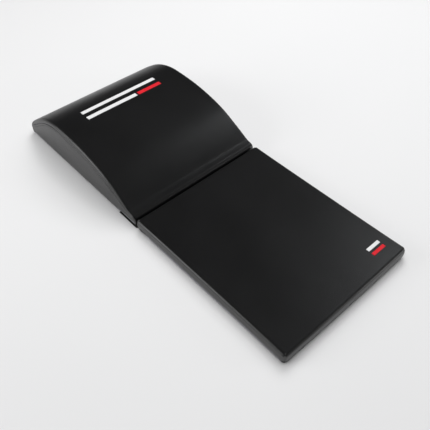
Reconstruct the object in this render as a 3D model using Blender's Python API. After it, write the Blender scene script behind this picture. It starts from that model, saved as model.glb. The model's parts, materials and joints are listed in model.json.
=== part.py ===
"""Sit-up wedge with a fold-out mat: foam blocks in vinyl covers, joined along the floor by a flap.

The fold line runs along X. The wedge lies towards +Y and the mat towards -Y, on a floor at z = 0.
"""
import math

import bmesh
import bpy
import numpy as np
from mathutils import Matrix

# Shared sizes, metres
SEAM_Y = -0.006          # world Y of the fold line, which centres the whole object on the origin
CLEAR = 0.0003           # gap between touching pieces
VINYL = 0.0012           # cover thickness
BASE = 0.0012            # underside fabric thickness
THREAD = 0.0008          # width of a sewn row
THREAD_RISE = 0.0004     # height of a sewn row above the cover
FILM = 0.0002            # printed film thickness

# Flap and its hook-and-loop tapes, stacked up from the floor
FLAP = 0.0014
TAPE = 0.0008
FLAP_HALF_WIDTH = 0.1845
FLAP_REACH = 0.066       # under the wedge's toe
HEM_REACH = 0.040        # under the mat
TAPE_MARGIN = 0.006      # the tapes stop this far inside the flap's ends
TAPE_START = 0.010
TAPE_END = 0.060
HEM_TOP = FLAP + CLEAR
TOE_RISE = FLAP + 2 * TAPE + 3 * CLEAR
HINGE_Z = -0.0002        # the flap bends at its lower face

# Wedge
WEDGE_HALF_WIDTH = 0.1835
WEDGE_EDGE = 0.007       # radius of the soft edge between the top cover and a side panel
TOE_Y = 0.0035
BACK_Y = 0.4575
BACK_STRAIGHT = 0.022    # height of the upright part of the back
LIP_STRAIGHT = 0.0185    # height of the upright part of the toe
# Centre-line outline of the top, toe to back: (y, z, heading in degrees from +Y)
WEDGE_KNOTS = [
    (TOE_Y, LIP_STRAIGHT, 90),
    (0.0135, 0.0296, 12),
    (0.0290, 0.0350, 33),
    (0.0950, 0.0735, 25),
    (0.1900, 0.1005, 9.5),
    (0.2950, 0.1078, 0),
    (0.3940, 0.0775, -33),
    (0.4340, 0.0500, -38),
    (BACK_Y, BACK_STRAIGHT, -90),
]
CURVE_STEPS = 5          # outline points on each stretch between knots
EDGE_STEPS = 4           # facets round a soft edge
TOPSTITCH_INSET = WEDGE_EDGE + 0.006
TOPSTITCH_FROM = 2 * CURVE_STEPS + 2
BASE_MARGIN = 0.001      # the underside panels stop this far inside the covers

# Mat
MAT_HALF_WIDTH = 0.185
MAT_FRONT = 0.446        # from the fold line to the foot end
MAT_BACK = 0.002
MAT_HEIGHT = 0.029
MAT_EDGE = 0.007         # radius of the soft top edge
MAT_CORNER = 0.010       # plan radius of the corners
CORNER_STEPS = 5
SEAM_THREAD_Z = 0.0045
CORNER_SEAM_SPAN = (0.008, 0.020)
LEAST_CORNER = 0.001     # smallest plan radius of an inset corner

# Zips, in their own frame: X along the zip, Y out of the cover, Z up
ZIP_Z = 0.0125
ZIP_LENGTH = 0.300
ZIP_SLOT = 0.0060
ZIP_TAPE = 0.0006
ZIP_TAPE_DEPTH = 0.0075
ZIP_TEETH = 0.0014
ZIP_END = 0.008
ZIP_STOP = 0.002
SLIDER_LENGTH = 0.009
SLIDER_WIDTH = 0.0070
SLIDER_FRONT = 0.0022
SLIDER_TIP = 0.55        # width of the slider's narrow end, as a share of the whole
LUG = 0.0010             # thickness of the lugs that hold the pin
PIN_OUT = 0.0034         # pull tab's pin, out from the cover
PIN_RADIUS = 0.0005
PIN_SIDES = 12
KNUCKLE_RADIUS = 0.0012
KNUCKLE_BORE = 0.0008
KNUCKLE_HALF = 0.0016
KNUCKLE_SIDES = 16
PULL_LENGTH = 0.024
PULL_HALF_WIDTH = 0.0028
PULL_HALF_THICK = 0.0006
PULL_BEVEL = 0.002       # cut corners of the tab's end
NECK_END = 0.0045        # the narrow neck ends here
SHOULDER = 0.0060        # full width from here

# Printed stripes: (centre x, y from the fold line, length, width)
WEDGE_LONG_STRIPE = (0.0, 0.302, 0.220, 0.012)
WEDGE_SHORT_STRIPE = (-0.0375, 0.276, 0.145, 0.012)
WEDGE_RED_STRIPE = (0.075, 0.276, 0.070, 0.012)
MAT_WHITE_STRIPE = (0.137, -0.395, 0.038, 0.008)
MAT_RED_STRIPE = (0.137, -0.409, 0.038, 0.008)

# Materials: colour, roughness, metallic
BLACK_VINYL = ("black_vinyl", (0.022, 0.022, 0.024), 0.45, 0.0)
BASE_FABRIC = ("base_fabric", (0.018, 0.018, 0.018), 0.9, 0.0)
FOAM = ("foam", (0.30, 0.30, 0.32), 0.95, 0.0)
WEBBING = ("webbing", (0.008, 0.008, 0.008), 0.85, 0.0)
LOOP_TAPE = ("loop_tape", (0.012, 0.012, 0.012), 0.95, 0.0)
HOOK_TAPE = ("hook_tape", (0.012, 0.012, 0.012), 0.6, 0.0)
SEWING_THREAD = ("thread", (0.02, 0.02, 0.02), 0.7, 0.0)
ZIP_COIL = ("zip_coil", (0.02, 0.02, 0.02), 0.35, 0.0)
ZIP_METAL = ("zip_metal", (0.05, 0.05, 0.05), 0.3, 0.8)
WHITE_FILM = ("white_film", (0.85, 0.85, 0.85), 0.5, 0.0)
RED_FILM = ("red_film", (0.72, 0.02, 0.03), 0.5, 0.0)


def clear_scene():
    for obj in list(bpy.data.objects):
        bpy.data.objects.remove(obj, do_unlink=True)


def material(spec):
    """One Principled material for each finish."""
    name, colour, roughness, metallic = spec
    found = bpy.data.materials.get(name)
    if found:
        return found
    made = bpy.data.materials.new(name)
    made.use_nodes = True
    shader = made.node_tree.nodes["Principled BSDF"]
    shader.inputs["Base Color"].default_value = (*colour, 1.0)
    shader.inputs["Roughness"].default_value = roughness
    shader.inputs["Metallic"].default_value = metallic
    return made


def empty(name, location, parent=None):
    obj = bpy.data.objects.new(name, None)
    bpy.context.collection.objects.link(obj)
    obj.location = location
    obj.parent = parent
    return obj


def place(name, mesh, spec, parent, location=(0, 0, 0), smooth=False):
    """Link a bmesh as a named object with its material."""
    bmesh.ops.recalc_face_normals(mesh, faces=mesh.faces)
    data = bpy.data.meshes.new(name)
    mesh.to_mesh(data)
    mesh.free()
    data.materials.append(material(spec))
    obj = bpy.data.objects.new(name, data)
    bpy.context.collection.objects.link(obj)
    obj.parent = parent
    obj.location = location
    if smooth:
        data.shade_smooth()
        data.set_sharp_from_angle(angle=math.radians(35))
    return obj


def cut(obj, cutter):
    """Take one closed shape out of another."""
    cutter.hide_render = True
    cutter.display_type = "WIRE"
    modifier = obj.modifiers.new("cut", "BOOLEAN")
    modifier.operation = "DIFFERENCE"
    modifier.solver = "EXACT"
    modifier.object = cutter


# Solids

def add_loft(mesh, loops):
    """Skin a run of closed point loops and cap both ends."""
    rows = [[mesh.verts.new(point) for point in loop] for loop in loops]
    for row, following in zip(rows, rows[1:]):
        for k in range(len(row)):
            after = (k + 1) % len(row)
            mesh.faces.new((row[k], row[after], following[after], following[k]))
    mesh.faces.new(rows[0])
    mesh.faces.new(rows[-1])


def loft(loops):
    mesh = bmesh.new()
    add_loft(mesh, loops)
    return mesh


def sheet(outer, inner):
    """A closed sheet between two grids of points that match each other."""
    mesh = bmesh.new()
    tops = [[mesh.verts.new(point) for point in row] for row in outer]
    backs = [[mesh.verts.new(point) for point in row] for row in inner]
    rows, columns = len(tops), len(tops[0])
    for i in range(rows - 1):
        for j in range(columns - 1):
            for grid in (tops, backs):
                mesh.faces.new((grid[i][j], grid[i][j + 1], grid[i + 1][j + 1], grid[i + 1][j]))
    for i in range(rows - 1):
        for j in (0, columns - 1):
            mesh.faces.new((tops[i][j], tops[i + 1][j], backs[i + 1][j], backs[i][j]))
    for j in range(columns - 1):
        for i in (0, rows - 1):
            mesh.faces.new((tops[i][j], tops[i][j + 1], backs[i][j + 1], backs[i][j]))
    return mesh


def add_box(mesh, x, y, z):
    """A block from its low and high value on each axis."""
    made = bmesh.ops.create_cube(mesh, size=1.0)
    size = Matrix.Diagonal((x[1] - x[0], y[1] - y[0], z[1] - z[0], 1.0))
    middle = ((x[0] + x[1]) / 2, (y[0] + y[1]) / 2, (z[0] + z[1]) / 2)
    bmesh.ops.transform(mesh, matrix=Matrix.Translation(middle) @ size, verts=made["verts"])


def boxes(*extents):
    mesh = bmesh.new()
    for x, y, z in extents:
        add_box(mesh, x, y, z)
    return mesh


def across(half_width, outline):
    """A (y, z) outline run straight across the width."""
    return loft([[(x, y, z) for y, z in outline] for x in (-half_width, half_width)])


# Wedge outline

def wedge_curve():
    """Points and headings along the top outline, knot to knot by cubic Hermite stretches."""
    points, headings = [], []
    for (y0, z0, h0), (y1, z1, h1) in zip(WEDGE_KNOTS, WEDGE_KNOTS[1:]):
        start, end = np.array((y0, z0)), np.array((y1, z1))
        chord = np.linalg.norm(end - start)
        leave = chord * np.array((math.cos(math.radians(h0)), math.sin(math.radians(h0))))
        arrive = chord * np.array((math.cos(math.radians(h1)), math.sin(math.radians(h1))))
        for k in range(CURVE_STEPS):
            t = k / CURVE_STEPS
            points.append((2 * t**3 - 3 * t**2 + 1) * start + (t**3 - 2 * t**2 + t) * leave
                          + (3 * t**2 - 2 * t**3) * end + (t**3 - t**2) * arrive)
            slope = (6 * t**2 - 6 * t) * (start - end) + (3 * t**2 - 4 * t + 1) * leave \
                + (3 * t**2 - 2 * t) * arrive
            headings.append(math.atan2(slope[1], slope[0]))
    points.append(np.array(WEDGE_KNOTS[-1][:2]))
    headings.append(math.radians(WEDGE_KNOTS[-1][2]))
    return points, headings


def inset_curve(inset):
    """The top outline moved square to itself into the wedge."""
    points, headings = wedge_curve()
    return [(p[0] + inset * math.sin(h), p[1] - inset * math.cos(h)) for p, h in zip(points, headings)]


def open_outline(inset):
    """Toe, top and back, from the raised toe rim to the back rim."""
    curve = inset_curve(inset)
    toe_rim = (curve[0][0], TOE_RISE + BASE + CLEAR)
    back_rim = (curve[-1][0], BASE + CLEAR)
    return [toe_rim] + curve + [back_rim]


def closed_outline(inset):
    """The open outline closed along the underside, stepped up over the flap."""
    step_y = FLAP_REACH + BASE + 3 * CLEAR
    return open_outline(inset) + [(step_y, BASE + CLEAR), (step_y, TOE_RISE + BASE + CLEAR)]


def soft_edge_stations(radius):
    """(x, inset) across the width for a surface whose side edges turn over with this radius."""
    centre_x = WEDGE_HALF_WIDTH - WEDGE_EDGE
    turns = [math.pi / 2 * k / EDGE_STEPS for k in range(EDGE_STEPS + 1)]
    right = [(centre_x + radius * math.sin(a), WEDGE_EDGE - radius * math.cos(a)) for a in turns]
    return [(-x, inset) for x, inset in reversed(right)] + right


def wedge_surface(radius):
    return [[(x, y, z) for y, z in open_outline(inset)] for x, inset in soft_edge_stations(radius)]


def surface_strip(x, y, length, width, rise):
    """Grid of points on the wedge's top, lifted by rise, under a stripe."""
    points, headings = wedge_curve()
    ys = [p[0] for p in points]
    grid = []
    for side in (-0.5, 0.5):
        row = []
        for k in range(4):
            at = y + width * (k / 3 - 0.5)
            height = np.interp(at, ys, [p[1] for p in points])
            heading = np.interp(at, ys, headings)
            row.append((x + side * length, at - rise * math.sin(heading), height + rise * math.cos(heading)))
        grid.append(row)
    return grid


# Wedge pieces

def build_wedge(frame):
    outer = wedge_surface(WEDGE_EDGE)
    inner = wedge_surface(WEDGE_EDGE - VINYL)
    cover = place("wedge_top_cover", sheet(outer, inner), BLACK_VINYL, frame, smooth=True)

    foam_stations = soft_edge_stations(WEDGE_EDGE - VINYL - CLEAR)
    foam_loops = [[(x, y, z) for y, z in closed_outline(inset)] for x, inset in foam_stations]
    foam = place("wedge_foam_core", loft(foam_loops), FOAM, frame, smooth=True)

    for side, name in ((-1, "left"), (1, "right")):
        panel_outline = closed_outline(WEDGE_EDGE + CLEAR)
        faces_x = (side * (WEDGE_HALF_WIDTH - VINYL), side * WEDGE_HALF_WIDTH)
        panel = loft([[(x, y, z) for y, z in panel_outline] for x in faces_x])
        place(f"wedge_{name}_side_panel", panel, BLACK_VINYL, frame)
        place(f"wedge_{name}_topstitch", topstitch(side), SEWING_THREAD, frame)

    step_out, step_in = FLAP_REACH + 2 * CLEAR, FLAP_REACH + BASE + 2 * CLEAR
    front, back = TOE_Y + BASE_MARGIN, BACK_Y - BASE_MARGIN
    base_outline = [(front, TOE_RISE), (step_out, TOE_RISE), (step_out, 0), (back, 0), (back, BASE),
                    (step_in, BASE), (step_in, TOE_RISE + BASE), (front, TOE_RISE + BASE)]
    place("wedge_base_panel", across(WEDGE_HALF_WIDTH - BASE_MARGIN, base_outline), BASE_FABRIC, frame)

    for name, spec, stripe in (("wedge_print_white_long", WHITE_FILM, WEDGE_LONG_STRIPE),
                               ("wedge_print_white_short", WHITE_FILM, WEDGE_SHORT_STRIPE),
                               ("wedge_print_red", RED_FILM, WEDGE_RED_STRIPE)):
        film = sheet(surface_strip(*stripe, 2 * CLEAR + FILM), surface_strip(*stripe, 2 * CLEAR))
        place(name, film, spec, frame)
    return cover, foam


def topstitch(side):
    """A sewn row inside a side panel's outline, from the flare of the toe to the back."""
    grids = []
    for lift in (CLEAR + THREAD_RISE, CLEAR):
        x = side * (WEDGE_HALF_WIDTH + lift)
        rows = [inset_curve(TOPSTITCH_INSET + edge)[TOPSTITCH_FROM:] for edge in (0, THREAD)]
        grids.append([[(x, y, z) for y, z in row] for row in rows])
    return sheet(*grids)


def build_flap(wedge, mat):
    """Flap under the toe with its hook tape, loop tape on the wedge's base, hem under the mat."""
    x = (-FLAP_HALF_WIDTH, FLAP_HALF_WIDTH)
    tape_x = (-FLAP_HALF_WIDTH + TAPE_MARGIN, FLAP_HALF_WIDTH - TAPE_MARGIN)
    tape_y = (TAPE_START, TAPE_END)
    hook_z = FLAP + CLEAR
    loop_z = hook_z + TAPE + CLEAR
    place("flap_strip", boxes((x, (CLEAR, FLAP_REACH), (0, FLAP))), WEBBING, wedge)
    place("flap_hook_tape", boxes((tape_x, tape_y, (hook_z, hook_z + TAPE))), HOOK_TAPE, wedge)
    place("wedge_loop_tape", boxes((tape_x, tape_y, (loop_z, loop_z + TAPE))), LOOP_TAPE, wedge)
    place("flap_hem", boxes((x, (-HEM_REACH, -CLEAR), (-HINGE_Z, FLAP - HINGE_Z))), WEBBING, mat)


# Mat pieces

def mat_loop(inset, z, rim_rise=0.0):
    """A rounded rectangle, with its rim lifted over the hem when rim_rise is set."""
    radius = max(MAT_CORNER - inset, LEAST_CORNER)
    half = MAT_HALF_WIDTH - inset
    low, high = -MAT_FRONT + inset, -MAT_BACK - inset
    step = -HEM_REACH - BASE - 4 * CLEAR
    corners = ((half, high, 0), (-half, high, 90), (-half, low, 180), (half, low, 270))
    plan = []
    for corner_x, corner_y, first in corners:
        middle_x = corner_x - math.copysign(radius, corner_x)
        middle_y = corner_y + (radius if corner_y == low else -radius)
        for k in range(CORNER_STEPS + 1):
            angle = math.radians(first + 90 * k / CORNER_STEPS)
            plan.append((middle_x + radius * math.cos(angle), middle_y + radius * math.sin(angle)))
        if first == 90:
            plan += [(-half, step + CLEAR), (-half, step)]
    plan += [(half, step), (half, step + CLEAR)]
    return [(x, y, z + (rim_rise if y > step + CLEAR / 2 else 0.0) - HINGE_Z) for x, y in plan]


def mat_loops(inset, bottom, rim_rise=0.0):
    """Loops from the bottom rim up and over the soft top edge."""
    radius = MAT_EDGE - inset
    loops = [mat_loop(inset, bottom, rim_rise)]
    for k in range(EDGE_STEPS + 1):
        angle = math.pi / 2 * k / EDGE_STEPS
        height = MAT_HEIGHT - MAT_EDGE + radius * math.sin(angle)
        loops.append(mat_loop(MAT_EDGE - radius * math.cos(angle), height))
    return loops


def build_mat(frame):
    rim = BASE + CLEAR
    outside = mat_loops(0.0, rim, HEM_TOP)
    inside = mat_loops(VINYL, rim, HEM_TOP)
    shell = loft(list(reversed(outside)) + inside)
    cover = place("mat_top_cover", shell, BLACK_VINYL, frame, smooth=True)

    foam = place("mat_foam_core", loft(mat_loops(VINYL + CLEAR, rim)), FOAM, frame, smooth=True)
    cutter_x = (-MAT_HALF_WIDTH - MAT_EDGE, MAT_HALF_WIDTH + MAT_EDGE)
    cutter_y = (-HEM_REACH - BASE - 3 * CLEAR, MAT_EDGE)
    over_hem = boxes((cutter_x, cutter_y, (-MAT_EDGE, HEM_TOP + rim - HINGE_Z)))
    cut(foam, place("over_hem_cutter", over_hem, FOAM, frame))

    front, back = -MAT_FRONT + BASE_MARGIN, -MAT_BACK - BASE_MARGIN
    step_in, step_out = -HEM_REACH - BASE - 2 * CLEAR, -HEM_REACH - 2 * CLEAR
    outline = [(front, 0), (step_out, 0), (step_out, HEM_TOP), (back, HEM_TOP), (back, HEM_TOP + BASE),
               (step_in, HEM_TOP + BASE), (step_in, BASE), (front, BASE)]
    lifted = [(y, z - HINGE_Z) for y, z in outline]
    place("mat_base_panel", across(MAT_HALF_WIDTH - BASE_MARGIN, lifted), BASE_FABRIC, frame)

    levels = (SEAM_THREAD_Z, SEAM_THREAD_Z + THREAD)
    lift, lifted_more = -CLEAR, -CLEAR - THREAD_RISE
    ring = [mat_loop(lift, levels[0]), mat_loop(lifted_more, levels[0]),
            mat_loop(lifted_more, levels[1]), mat_loop(lift, levels[1])]
    place("mat_seam_thread", closed_ring(ring), SEWING_THREAD, frame)
    build_corner_seams(frame)

    top = MAT_HEIGHT + CLEAR - HINGE_Z
    for name, spec, stripe in (("mat_print_white", WHITE_FILM, MAT_WHITE_STRIPE),
                               ("mat_print_red", RED_FILM, MAT_RED_STRIPE)):
        x, y, length, width = stripe
        film = boxes(((x - length / 2, x + length / 2), (y - width / 2, y + width / 2), (top, top + FILM)))
        place(name, film, spec, frame)
    return cover, foam


def closed_ring(loops):
    """A tube that closes on itself, skinned round its four edge loops."""
    mesh = bmesh.new()
    rows = [[mesh.verts.new(point) for point in loop] for loop in loops]
    for row, following in zip(rows, rows[1:] + rows[:1]):
        for k in range(len(row)):
            after = (k + 1) % len(row)
            mesh.faces.new((row[k], row[after], following[after], following[k]))
    return mesh


def build_corner_seams(frame):
    """An upright sewn row on each boxed corner."""
    reach = MAT_CORNER * math.sqrt(0.5)
    for side, side_name in ((-1, "left"), (1, "right")):
        for y, outward, end_name in ((-MAT_FRONT + MAT_CORNER, -1, "front"),
                                     (-MAT_BACK - MAT_CORNER, 1, "back")):
            row = boxes(((2 * CLEAR, 2 * CLEAR + THREAD_RISE), (-THREAD / 2, THREAD / 2), CORNER_SEAM_SPAN))
            spot = (side * (MAT_HALF_WIDTH - MAT_CORNER + reach), y + outward * reach, -HINGE_Z)
            seam = place(f"mat_corner_seam_{end_name}_{side_name}", row, SEWING_THREAD, frame, spot)
            seam.rotation_euler = (0, 0, math.atan2(outward, side))


# Zips

def build_zip(prefix, origin, turn, body, cover, foam):
    """A coil zip set in a slot in the cover, with a slider and a pull tab."""
    frame = empty(f"{prefix}_zip_frame", origin, body)
    frame.rotation_euler = (0, 0, turn)
    half = ZIP_LENGTH / 2
    tape_y = (-VINYL - CLEAR - ZIP_TAPE, -VINYL - CLEAR)
    tape_x = (-half - ZIP_END, half + ZIP_END)
    slot = boxes(((-half, half), (-VINYL - CLEAR, CLEAR), (-ZIP_SLOT / 2, ZIP_SLOT / 2)))
    cut(cover, place(f"{prefix}_zip_slot_cutter", slot, BLACK_VINYL, frame))
    pocket_x = (tape_x[0] - CLEAR, tape_x[1] + CLEAR)
    pocket = boxes((pocket_x, (tape_y[0] - CLEAR, 0.0), (-ZIP_TAPE_DEPTH - CLEAR, ZIP_TAPE_DEPTH + CLEAR)))
    cut(foam, place(f"{prefix}_zip_pocket_cutter", pocket, FOAM, frame))

    for name, low, high in (("upper", CLEAR / 2, ZIP_TAPE_DEPTH), ("lower", -ZIP_TAPE_DEPTH, -CLEAR / 2)):
        place(f"{prefix}_zip_{name}_tape", boxes((tape_x, tape_y, (low, high))), WEBBING, frame)
    teeth_x = (-half + ZIP_END / 2, half - ZIP_END / 2)
    teeth_y = (-VINYL, CLEAR)
    for name, low, high in (("upper", CLEAR / 2, ZIP_TEETH), ("lower", -ZIP_TEETH, -CLEAR / 2)):
        place(f"{prefix}_zip_{name}_teeth", boxes((teeth_x, teeth_y, (low, high))), ZIP_COIL, frame)
    stop_z = (-ZIP_TEETH - CLEAR, ZIP_TEETH + CLEAR)
    for name, x in (("open_end", -half + ZIP_END / 4), ("closed_end", half - ZIP_END / 4)):
        stop = boxes(((x - ZIP_STOP / 2, x + ZIP_STOP / 2), (-VINYL, 2 * CLEAR), stop_z))
        place(f"{prefix}_zip_{name}_stop", stop, ZIP_METAL, frame)

    start = half - ZIP_END / 2 - SLIDER_LENGTH / 2
    slider = place(f"{prefix}_zip_slider", slider_mesh(), ZIP_METAL, frame, (start, 0, 0))
    place(f"{prefix}_zip_pull", pull_mesh(), ZIP_METAL, slider, (0, PIN_OUT, 0), smooth=True)


def slider_mesh():
    """Front plate, two lugs and the pin that the pull tab swings on."""
    mesh = bmesh.new()
    half_length, half_width = SLIDER_LENGTH / 2, SLIDER_WIDTH / 2
    lug_in = KNUCKLE_HALF + CLEAR
    plate_y = (2 * CLEAR, SLIDER_FRONT)
    tip = half_width * SLIDER_TIP
    plan = [(-half_length, -tip), (0, -half_width), (half_length, -half_width),
            (half_length, half_width), (0, half_width), (-half_length, tip)]
    add_loft(mesh, [[(x, y, z) for x, z in plan] for y in plate_y])
    plate = finished(mesh, "slider_plate")
    lugs = boxes(*[((-LUG, LUG), (SLIDER_FRONT - CLEAR, PIN_OUT + LUG), (z, z + LUG))
                   for z in (lug_in, -lug_in - LUG)])
    pin = bmesh.new()
    bmesh.ops.create_cone(pin, cap_ends=True, segments=PIN_SIDES, radius1=PIN_RADIUS, radius2=PIN_RADIUS,
                          depth=2 * lug_in + LUG, matrix=Matrix.Translation((0, PIN_OUT, 0)))
    return united(plate, finished(lugs, "slider_lugs"), finished(pin, "slider_pin"))


def pull_mesh():
    """Tab with a knuckle round the pin, lying flat towards -X."""
    knuckle = bmesh.new()
    turns = [2 * math.pi * k / KNUCKLE_SIDES for k in range(KNUCKLE_SIDES)]
    rings = [[(r * math.cos(a), r * math.sin(a), z) for a in turns]
             for r, z in ((KNUCKLE_RADIUS, -KNUCKLE_HALF), (KNUCKLE_RADIUS, KNUCKLE_HALF),
                          (KNUCKLE_BORE, KNUCKLE_HALF), (KNUCKLE_BORE, -KNUCKLE_HALF))]
    rows = [[knuckle.verts.new(point) for point in ring] for ring in rings]
    for row, following in zip(rows, rows[1:] + rows[:1]):
        for k in range(KNUCKLE_SIDES):
            after = (k + 1) % KNUCKLE_SIDES
            knuckle.faces.new((row[k], row[after], following[after], following[k]))
    neck = KNUCKLE_HALF
    wide, narrow = PULL_HALF_WIDTH, PULL_HALF_WIDTH - PULL_BEVEL
    root = -(KNUCKLE_BORE + KNUCKLE_RADIUS) / 2
    bevel = -PULL_LENGTH + PULL_BEVEL
    plan = [(root, -neck), (root, neck), (-NECK_END, neck), (-SHOULDER, wide), (bevel, wide),
            (-PULL_LENGTH, narrow), (-PULL_LENGTH, -narrow), (bevel, -wide),
            (-SHOULDER, -wide), (-NECK_END, -neck)]
    tab = loft([[(x, y, z) for x, z in plan] for y in (-PULL_HALF_THICK, PULL_HALF_THICK)])
    return united(finished(knuckle, "pull_knuckle"), finished(tab, "pull_tab"))


def finished(mesh, name):
    """A loose object that holds a bmesh until it is joined to others."""
    bmesh.ops.recalc_face_normals(mesh, faces=mesh.faces)
    data = bpy.data.meshes.new(name)
    mesh.to_mesh(data)
    mesh.free()
    obj = bpy.data.objects.new(name, data)
    bpy.context.collection.objects.link(obj)
    return obj


def united(first, *others):
    """Boolean union of loose objects, as a bmesh; the objects are removed."""
    for other in others:
        modifier = first.modifiers.new("join", "BOOLEAN")
        modifier.operation = "UNION"
        modifier.solver = "EXACT"
        modifier.object = other
    evaluated = first.evaluated_get(bpy.context.evaluated_depsgraph_get())
    mesh = bmesh.new()
    mesh.from_mesh(evaluated.to_mesh())
    evaluated.to_mesh_clear()
    for obj in (first, *others):
        bpy.data.objects.remove(obj, do_unlink=True)
    return mesh


def main():
    clear_scene()
    wedge = empty("wedge_frame", (0, SEAM_Y, 0))
    mat = empty("mat_fold_axis", (0, SEAM_Y, HINGE_Z))
    wedge_cover, wedge_foam = build_wedge(wedge)
    build_flap(wedge, mat)
    mat_cover, mat_foam = build_mat(mat)
    build_zip("wedge", (0, BACK_Y, ZIP_Z), 0.0, wedge, wedge_cover, wedge_foam)
    middle_y = -(MAT_FRONT + MAT_BACK) / 2
    build_zip("mat", (MAT_HALF_WIDTH, middle_y, ZIP_Z - HINGE_Z), -math.pi / 2, mat, mat_cover, mat_foam)


main()
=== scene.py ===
"""Looks of the padded sit-up wedge and its fold-out mat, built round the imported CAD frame."""
import json
import math

import bpy
import numpy as np
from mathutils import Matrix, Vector


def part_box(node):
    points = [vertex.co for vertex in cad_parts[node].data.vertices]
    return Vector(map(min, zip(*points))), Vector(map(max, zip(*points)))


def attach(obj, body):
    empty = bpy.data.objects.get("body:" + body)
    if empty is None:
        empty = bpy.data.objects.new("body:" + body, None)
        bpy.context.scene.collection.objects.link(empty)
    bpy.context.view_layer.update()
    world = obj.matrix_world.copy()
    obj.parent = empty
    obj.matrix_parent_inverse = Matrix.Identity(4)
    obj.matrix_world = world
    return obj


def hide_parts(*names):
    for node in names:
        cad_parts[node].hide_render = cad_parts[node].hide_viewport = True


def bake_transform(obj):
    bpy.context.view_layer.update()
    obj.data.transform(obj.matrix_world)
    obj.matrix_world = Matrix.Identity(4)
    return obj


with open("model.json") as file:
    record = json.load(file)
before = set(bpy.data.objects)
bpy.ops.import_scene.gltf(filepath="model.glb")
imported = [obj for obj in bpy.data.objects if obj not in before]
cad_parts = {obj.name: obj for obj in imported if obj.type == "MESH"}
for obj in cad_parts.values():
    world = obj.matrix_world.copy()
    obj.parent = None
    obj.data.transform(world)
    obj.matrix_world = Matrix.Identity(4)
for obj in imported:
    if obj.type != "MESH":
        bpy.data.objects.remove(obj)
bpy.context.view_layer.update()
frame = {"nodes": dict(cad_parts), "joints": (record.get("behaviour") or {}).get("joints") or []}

# Places and sizes read from the frame
FOLD = next(joint for joint in frame["joints"] if joint["name"] == "mat_fold")
SEAM_Y = FOLD["pos_m"][1]
WEDGE_LOW, WEDGE_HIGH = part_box("wedge_top_cover")
MAT_LOW, MAT_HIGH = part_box("mat_top_cover")
FLAP_LOW, FLAP_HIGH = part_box("flap_strip")
HEM_LOW, HEM_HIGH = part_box("flap_hem")
WEDGE_HALF = WEDGE_HIGH.x
MAT_HALF = MAT_HIGH.x
TOE_Y = WEDGE_LOW.y
BACK_Y = WEDGE_HIGH.y
FABRIC_ON_TAPE = 0.0016    # base cloth and seam above the loop tape
TOE_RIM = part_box("wedge_loop_tape")[1].z + FABRIC_ON_TAPE
BACK_RIM = 0.0018
MAT_MIDDLE = (MAT_LOW.y + MAT_HIGH.y) / 2
MAT_REACH = (MAT_HIGH.y - MAT_LOW.y) / 2
MAT_TOP = MAT_HIGH.z

# Wedge skin, metres
# Centre-line outline: (y from the fold line, z, heading in degrees from +Y)
WEDGE_KNOTS = [
    (0.0035, 0.0185, 90),
    (0.0135, 0.0296, 12),
    (0.0290, 0.0350, 33),
    (0.0950, 0.0735, 25),
    (0.1900, 0.1005, 9.5),
    (0.2950, 0.1078, 0),
    (0.3940, 0.0775, -33),
    (0.4340, 0.0500, -38),
    (0.4575, 0.0220, -90),
]
STRETCH_STEPS = 24
RIM_STEPS = 6             # turns of the rim at the toe and at the back
RIM_RADIUS = 0.0025
BACK_ROLL = 0.0070        # the back's lower edge rolls under
EDGE_AT_TOE = 0.003       # soft edge radius, smaller at the toe and at the floor
EDGE_ON_TOP = 0.009
EDGE_GROWS = (0.015, 0.085)
EDGE_SHRINKS = (0.012, 0.055)
BACK_SLOPE_Y = 0.40       # the edge shrinks towards the floor only behind this
EDGE_TURNS = 12
TOP_COLUMNS = 58
PANEL_PLANE = 0.0002      # a side panel's flat plane lies this far inside the wedge's side
PANEL_INSET = 0.0012      # a side panel's outline inside the soft edge
PANEL_BULGE = 0.0013
PANEL_TUCKS_UNDER = 0.0038
UNDER_HEIGHT = 0.016
TOP_CROWN = 0.0010
TOP_WAVES = 0.00022
TOE_DIP = 0.0006
TUCK = 0.0022             # depth of a sewn groove
ALLOWANCE = 0.008         # width of the turned-in edge that shows as a ridge
SIDE_ROWS = 64
STITCH_PITCH = 0.0042
STITCH_LENGTH = 0.0031
STITCH_RADIUS = 0.00038
STITCH_SHAPE = [(-0.5, 0.35), (-0.32, 0.85), (0.0, 1.0), (0.32, 0.85), (0.5, 0.35)]
STITCH_SIDES = 6
SEAM_PUCKER = 0.00022

# Mat skin, metres
MAT_EDGE = 0.0075
FRONT_CORNER = 0.0095
BACK_CORNER = 0.0085
MAT_SEAM_Z = 0.0052
MAT_BOTTOM_EDGE = 0.0035
PULL_IN_LONG = 0.0013     # the sides curve in between the corners
PULL_IN_BACK = 0.0010
FRONT_BULGE = 0.0015
LEAN = 0.0005             # the band leans in towards the floor, most at the near corner
LEAN_AT_CORNER = 0.0004
LEAN_REACH = 0.16
CORNER_POINTS = 20
LONG_STEPS = 112
SHORT_STEPS = 92
BAND_TOP = 0.0180
BAND_LIFT_END = 0.0165    # the band's lift over the hem has died out here
BAND_BELLY = 0.0010
MAT_CROWN = 0.0009
MAT_WAVES = 0.00025
TOP_INSETS = (0.0095, 0.012, 0.016, 0.022, 0.030, 0.040, 0.052, 0.066, 0.082, 0.100, 0.120, 0.140, 0.158, 0.172)
BASE_INSETS = (0.008, 0.016, 0.030, 0.050, 0.075, 0.105, 0.135, 0.160, 0.172)
CORNER_SINKS = 0.0018     # corner stitches below the CAD thread's centre
CORNER_LEVELS = 12

# Thicknesses and gaps, metres
SKIN = 0.0011
BASE_SKIN = 0.0009
FILM = 0.0002
STRIPE_GAP = 0.00025      # wedge stripes above the vinyl
MAT_STRIPE_GAP = 0.00035
ZIP_END_GAP = 0.001       # a zip slot reaches this far past its stops
HEM_NARROWS = 0.0038      # the hem is narrower than the flap, so that it stays under the mat
SLOT_HALF = 0.0030

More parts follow.
